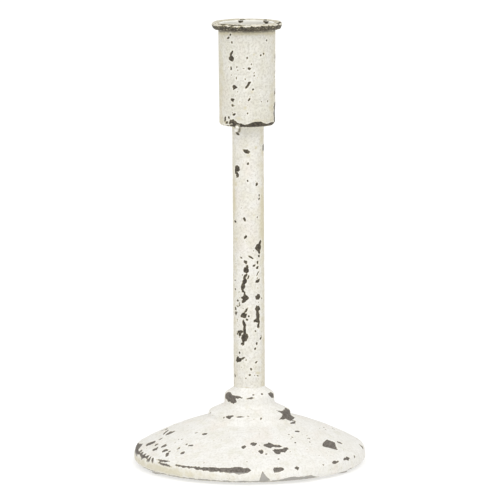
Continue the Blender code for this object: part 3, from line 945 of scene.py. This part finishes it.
def make_collar(material):
    """Stepped collar, its paint run up to the stem and down to the dish."""
    outer = [
        (STEM - PAINT_GAP, COLLAR_TOP + 3.0, 0),
        (STEM + 0.1, COLLAR_TOP + 1.6, 1.4),
        (STEM + 2.6, COLLAR_TOP - 0.1, 1.6),
        (RING - 0.2, COLLAR_TOP - 1.2, 1.9),
        (RING, COLLAR_TOP - 6.3, 1.8),
        (FLANGE - 0.8, FLANGE_Z + 2.9, 1.3),
        (FLANGE - 0.2, FLANGE_Z + 0.8, 1.1),
        (*SKIRT, 0),
    ]
    inner = [
        (*SKIRT, 0),
        (FLANGE - 2.0, SEAT_Z + PAINT_GAP, 0),
        (BOLT_HOLE, SEAT_Z + PAINT_GAP, 0),
        (BOLT_HOLE, STEM_FOOT - 0.3, 0),
        (STEM - PAINT_GAP, STEM_FOOT - 0.3, 0),
        (STEM - PAINT_GAP, COLLAR_TOP + 3.0, 0),
    ]
    pitch, unseen_pitch, columns = COLLAR_MESH
    fine = run(outer, pitch)
    skin = Skin("collar_skin", [fine, run(inner, unseen_pitch)], columns, len(fine), seed=5)
    skin.chips_at(COLLAR_CHIPS, skin.at_height)
    skin.patches_at(COLLAR_PATCHES, skin.at_height)
    skin.clusters_at(COLLAR_CLUSTERS, skin.at_height)
    skin.worn_edge(skin.at_height(COLLAR_TOP - 1.6), SHOULDER_WEAR)
    skin.worn_edge(skin.at_height(FLANGE_Z + 2.5), FLANGE_WEAR)
    skin.grime_and_shade_at(skin.at_height(COLLAR_TOP - 6.0), 1.2, 0.2)
    return skin.build(material, "base_paint", "stem_collar", uneven=0.08)


def make_stem(material):
    """Plain tube with a run of paint under the cup."""
    outer = [
        (STEM + 0.9, CUP_FOOT + PAINT_GAP, 0),
        (STEM + 0.1, CUP_FOOT - 0.6, 0.7),
        (STEM, CUP_FOOT - 4.0, 0),
        (STEM, STEM_FOOT, 0),
    ]
    inner = [
        (STEM, STEM_FOOT, 0),
        (STEM - STEM_WALL, STEM_FOOT, 0),
        (STEM - STEM_WALL, CUP_FOOT + PAINT_GAP, 0),
        (STEM + 0.9, CUP_FOOT + PAINT_GAP, 0),
    ]
    pitch, unseen_pitch, columns = STEM_MESH
    fine = run(outer, pitch)
    skin = Skin("stem_skin", [fine, run(inner, unseen_pitch)], columns, len(fine), seed=7)
    skin.chips_at(STEM_CHIPS, skin.at_height)
    skin.clusters_at(STEM_CLUSTERS, skin.at_height)
    skin.lump_at(*STEM_LUMP)
    skin.soil_and_side_shade(STEM_SMUDGES, STEM_SHADE_STREAKS)
    # Painted shadow on the stem just under the cup
    skin.grime_and_shade_at(skin.at_height(CUP_FOOT), 1.2, 0.5)
    skin.grime_and_shade_at(skin.at_height(COLLAR_TOP), 1.5, 0.2)
    return skin.build(material, "stem_paint", "stem_tube")


def make_cup(material):
    """Cup with its rounded foot, its bore and its floor round the screw."""
    rim_foot = RIM_LOW[2]
    foot = CUP_FOOT - 0.3
    outer = [
        (REBATE, CUP_TOP, 0),
        (REBATE, rim_foot - 0.2, 0),
        (CUP_MOUTH, rim_foot - 0.4, 0.1),
        (CUP_BASE, foot, 1.6),
        (STEM - 1.0, foot, 0),
    ]
    inner = [
        (STEM - 1.0, foot, 0),
        (2.8, foot, 0),
        (SCREW_SINK - 0.4, CUP_FLOOR - 0.4, 0),
        (SCREW_SINK, CUP_FLOOR, 0),
        (BORE, CUP_FLOOR, 1.0),
        (BORE, CUP_TOP, 0.5),
        (REBATE, CUP_TOP, 0),
    ]
    pitch, unseen_pitch, columns = CUP_MESH
    fine = run(outer, pitch)
    skin = Skin("cup_skin", [fine, run(inner, unseen_pitch)], columns, len(fine), seed=11)
    skin.chips_at(CUP_CHIPS, skin.at_height)
    skin.clusters_at(CUP_CLUSTERS, skin.at_height)
    skin.worn_edge(skin.at_height(CUP_FOOT + 0.5), FOOT_WEAR)
    skin.lump_at(*CUP_LUMP)
    # Painted shadow: dark grey on the cup's wall under the rim's wire
    skin.grime_and_shade_at(skin.at_height(rim_foot), 1.7, 2.0)
    skin.grime_and_shade_at(skin.at_height(CUP_FOOT + 1.5), 2.5, 0.22)
    skin.soil_and_side_shade(CUP_SMUDGES, CUP_SHADE_STREAKS)
    near_top = smooth_step((skin.points[:, 2] - CUP_TOP + 12.0) / 8.0)
    skin.rough_inside(-0.9 - 1.6 * near_top)
    for spot in MOUTH_SPOTS:
        skin.inner_spot(*spot)
    # Painted light: the inside gets whiter paint towards the mouth, standing in for light falling
    # into it
    skin.grime_and_shading = np.where(skin.visible, skin.grime_and_shading, -near_top)
    return skin.build(material, "cup_paint", "candle_cup", CUP_OFFSET)


def make_rim(material):
    """Wire ring round the mouth, lumpy with paint, and bare along its underside."""
    turns = np.linspace(0, -2 * math.pi, RIM_ROWS, endpoint=False) + math.pi
    section = RIM_WIRE * np.column_stack([np.cos(turns), np.sin(turns)]) + (RIM_CENTRE, RIM_Z)
    section[:, 0] = np.maximum(section[:, 0], REBATE - 0.05)
    skin = Skin("rim_skin", [section], RIM_COLUMNS, len(section), seed=13)
    for turn, wear, wander in RIM_LINES:
        skin.worn_edge(RIM_WIRE * math.radians(180 - turn), wear, wander, 2.2)
    hang = skin.down - RIM_WIRE * math.radians(180 + 75)
    skin.lump += 0.35 * np.exp(-((hang / 0.9) ** 2))
    for angle in RIM_CLUSTERS:
        skin.cluster(angle, RIM_WIRE * math.pi, 6, 0.6, 2, 1.1)
    skin.chip = np.minimum(skin.chip, RIM_PAINT_LEFT)
    skin.grime_and_shading += 0.42
    return skin.build(material, "cup_paint", "rim_ring", CUP_OFFSET, uneven=0.10)


# ------------------------------------------------------------------ fasteners and pads

AXIS_HOLE = 0.02  # a turned skin stops this far from its axis


def turned_part(name, corners, pitch, columns):
    """A plain turned skin for a fastener or pad."""
    profile = run([*corners, corners[0]], pitch)
    return Skin(name, [profile], columns, len(profile), 17)


def add_thread(skin, low, high, pitch, depth):
    """A V thread on the rows of a shank between two heights."""
    heights = skin.points[:, 2]
    phase = (heights / pitch - skin.angle / 360.0) % 1.0
    groove = np.abs(phase * 2 - 1) * depth
    ends = smooth_step((heights - low) / pitch) * smooth_step((high - heights) / pitch)
    skin.lump -= groove * ends * (skin.radius > 1.0)


def cut(piece, tool):
    """Cut a piece with a tool and apply it."""
    change = piece.modifiers.new("cut", "BOOLEAN")
    change.operation = "DIFFERENCE"
    change.solver = "EXACT"
    change.object = tool
    evaluated = piece.evaluated_get(bpy.context.evaluated_depsgraph_get())
    mesh = bpy.data.meshes.new_from_object(evaluated)
    piece.modifiers.clear()
    piece.data = mesh
    bpy.data.objects.remove(tool)
    return piece


def box_tool(size, place, turn=0.0):
    """A box for cutting, in millimetres."""
    bpy.ops.mesh.primitive_cube_add(size=1, location=Vector(place) * MM, rotation=(turn, 0, 0))
    tool = bpy.context.object
    tool.data.transform(Matrix.Diagonal((*(Vector(size) * MM), 1)))
    return tool


def make_cup_screw(material):
    """Countersunk slotted screw with its thread."""
    top, tip = SCREW_HIGH[2], SCREW_LOW[2]
    head, shank = SCREW_HIGH[1], 2.5
    corners = [
        (AXIS_HOLE, top, 0),
        (head, top, 0.15),
        (head, top - 0.3, 0.1),
        (shank, top - 2.4, 0.2),
        (shank, tip, 0.4),
        (AXIS_HOLE, tip, 0),
    ]
    skin = turned_part("cup_screw_turned", corners, 0.16, 56)
    add_thread(skin, tip, top - 3.4, 0.8, 0.42)
    piece = skin.build(material, "zinc_steel", "cup_screw", uneven=0.0)
    slot = box_tool((head * 3, 1.2, 2.2), (0, 0, top))
    return cut(piece, slot)


def make_base_bolt(material):
    """Hexagonal bolt with a chamfered head and a threaded shank."""
    low, high = BOLT_LOW[2], BOLT_HIGH[2]
    flats = BOLT_HIGH[0]
    corner = flats / math.cos(math.radians(30))
    head, shank = low + 4.0, 3.0
    corners = [
        (AXIS_HOLE, high, 0),
        (shank, high, 0.5),
        (shank, head, 0.3),
        (corner, head, 0.2),
        (corner, low + 0.7, 0.1),
        (flats * 0.93, low, 0.2),
        (AXIS_HOLE, low, 0),
    ]
    skin = turned_part("base_bolt_turned", corners, 0.18, 72)
    sixth = (skin.angle + 30.0) % 60.0 - 30.0
    hexagon = flats / np.cos(np.radians(sixth))
    inward = np.minimum(hexagon / np.maximum(skin.radius, 0.01), 1.0)
    skin.points[:, :2] *= inward[:, None]
    add_thread(skin, head + 1.0, high, 1.0, 0.5)
    return skin.build(material, "zinc_steel", "base_bolt", uneven=0.0)


def make_washer(name, node, low, high, inner, material):
    """Flat washer with rolled edges."""
    outer = high[0]
    corners = [
        (inner, high[2], 0),
        ((inner + outer) / 2, high[2], 0),
        (outer, high[2], 0.35),
        (outer, low[2], 0.35),
        (inner, low[2], 0.2),
        (inner, high[2] - 0.1, 0),
    ]
    skin = turned_part(name, corners, 0.25, 96)
    skin.lump += 0.02 * skin.noise(3.0, 2, 6)
    return skin.build(material, "zinc_steel", node, uneven=0.0)


def make_spring_washer(material):
    """Spring washer with its slanted split."""
    low, high = SPRING_LOW, SPRING_HIGH
    washer = make_washer("spring_washer_split", "spring_washer", low, high, BOLT_HOLE, material)
    split = box_tool((high[1] * 2, 0.9, 4.0), (high[1], 0, (low[2] + high[2]) / 2), math.radians(20))
    return cut(washer, split)


def make_pads(material):
    """Felt pads with fibrous, slightly swollen edges."""
    for number in (1, 2, 3):
        low, high = node_box(f"felt_pad_{number}")
        centre = (low + high) / 2
        radius = (high[0] - low[0]) / 2
        top = HEM_Z + 0.02
        corners = [
            (AXIS_HOLE, top, 0),
            (radius, top, 0.25),
            (radius + 0.1, top / 2, 0.3),
            (radius, 0.0, 0.25),
            (AXIS_HOLE, 0.0, 0),
        ]
        skin = turned_part(f"pad_felt_{number}", corners, 0.2, 72)
        side = np.clip(skin.radius - radius + 0.6, 0, 0.6) / 0.6
        skin.lump += 0.10 * side * skin.noise(0.7, 3, number)
        skin.build(material, "grey_felt", f"felt_pad_{number}", centre[:2], uneven=0.0)


# ------------------------------------------------------------------ stage

# The floor, camera distances and heights are in metres, the lens in millimetres
FLOOR_SIZE = 60
FLOOR_GLOW = 0.42
SKY_HORIZON = 1.03
SKY_MIDDLE = 0.36
SKY_OVERHEAD = 0.24
LAMPS = ((-36, 1.00), (36, 1.06), (180, 0.32))  # azimuth in degrees, strength
LAMP_ELEVATION = 50
LAMP_SPREAD = 45
CAMERA_DISTANCE = 1.8014
CAMERA_HEIGHT = 0.3805
CAMERA_AIM = (0.00065, 0, 0.10182)
CAMERA_LENS = 278.0
CAMERA_TILT = -0.30
CAMERA_FAR = 200.0


def make_floor():
    """Plain pale floor, an acrylic table softly lit from below."""
    bpy.ops.mesh.primitive_plane_add(size=FLOOR_SIZE)
    floor = bpy.context.object
    floor.name = "floor"
    n = Nodes(bpy.data.materials.new("pale_floor"))
    tone = n.blend(n.grain(90.0, 2.0), *FLOOR_TONES)
    n.finish(tone, 0.9, n.bump(n.grain(2.0), 0.01, 0.2), specular=0.1)
    n.shader.inputs["Emission Color"].default_value = WHITE
    n.shader.inputs["Emission Strength"].default_value = FLOOR_GLOW
    floor.data.materials.append(n.owner)


def add_lamp(azimuth, power):
    """A wide soft light that shines down on the table's middle."""
    lamp = bpy.data.lights.new(f"lamp_{azimuth}", "SUN")
    lamp.energy = power
    lamp.angle = math.radians(LAMP_SPREAD)
    turn = math.radians(azimuth)
    place = Vector((math.sin(turn), -math.cos(turn), math.tan(math.radians(LAMP_ELEVATION))))
    holder = bpy.data.objects.new(lamp.name, lamp)
    holder.location = place
    holder.rotation_euler = (-place).to_track_quat("-Z", "Y").to_euler()
    bpy.context.scene.collection.objects.link(holder)


def make_light():
    """White surroundings, brightest near the horizon, and three wide soft lights from above."""
    n = Nodes(bpy.data.worlds.new("studio"))
    direction = n.add("ShaderNodeTexCoord").outputs["Generated"]
    height = n.add("ShaderNodeSeparateXYZ", {0: direction}).outputs["Z"]
    backdrop = n.ramp(height, 0.10, 0.40, SKY_HORIZON, SKY_MIDDLE)
    overhead = n.ramp(height, 0.50, 0.90, 0.0, SKY_OVERHEAD)
    background = n.tree.nodes["Background"]
    n.feed(background.inputs["Color"], SKY_COLOUR)
    n.feed(background.inputs["Strength"], n.maths("ADD", backdrop, overhead))
    bpy.context.scene.world = n.owner
    for azimuth, power in LAMPS:
        add_lamp(azimuth, power)


def make_camera():
    """Long lens, a little above the candlestick, tilted a third of a degree."""
    camera = bpy.data.cameras.new("camera")
    camera.lens = CAMERA_LENS
    camera.sensor_width = 36.0
    camera.clip_end = CAMERA_FAR
    holder = bpy.data.objects.new("camera", camera)
    holder.location = (0, -CAMERA_DISTANCE, CAMERA_HEIGHT)
    look = (Vector(CAMERA_AIM) - holder.location).to_track_quat("-Z", "Y").to_matrix()
    tilt = Matrix.Rotation(math.radians(CAMERA_TILT), 3, "Z")
    holder.rotation_euler = (look @ tilt).to_euler()
    bpy.context.scene.collection.objects.link(holder)
    bpy.context.scene.camera = holder


# ------------------------------------------------------------------ the candlestick

bpy.context.scene.view_settings.view_transform = "Standard"
base_paint = chipped_paint(
    "base_chipped_paint", BASE_PAINT, BASE_CREAM, BASE_SPECKLE, TAUPE_DARK, TAUPE_WORN
)
stem_paint = chipped_paint("stem_chipped_paint", STEM_PAINT, STEM_CREAM, STEM_SPECKLE)
cup_paint = chipped_paint("cup_chipped_paint", CUP_PAINT, CUP_CREAM, CUP_SPECKLE)
rim_paint = chipped_paint("rim_chipped_paint", RIM_PAINT, RIM_CREAM, RIM_SPECKLE)
zinc = plated_steel("zinc_plated_steel", ZINC_LIGHT, ZINC_DARK)
steel = plated_steel("bare_turned_steel", STEEL_LIGHT, STEEL_DARK)
felt = pressed_felt("pressed_grey_felt")

make_dish(base_paint)
make_collar(base_paint)
make_stem(stem_paint)
make_cup(cup_paint)
make_rim(rim_paint)
make_cup_screw(zinc)
make_base_bolt(zinc)
make_washer("base_washer_rolled", "base_washer", WASHER_LOW, WASHER_HIGH, BOLT_HOLE, zinc)
make_spring_washer(zinc)
make_pads(felt)
for plug in ("lower_stem_plug", "upper_stem_plug"):
    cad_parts[plug].data.materials.clear()
    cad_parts[plug].data.materials.append(steel)

make_floor()
make_light()
make_camera()
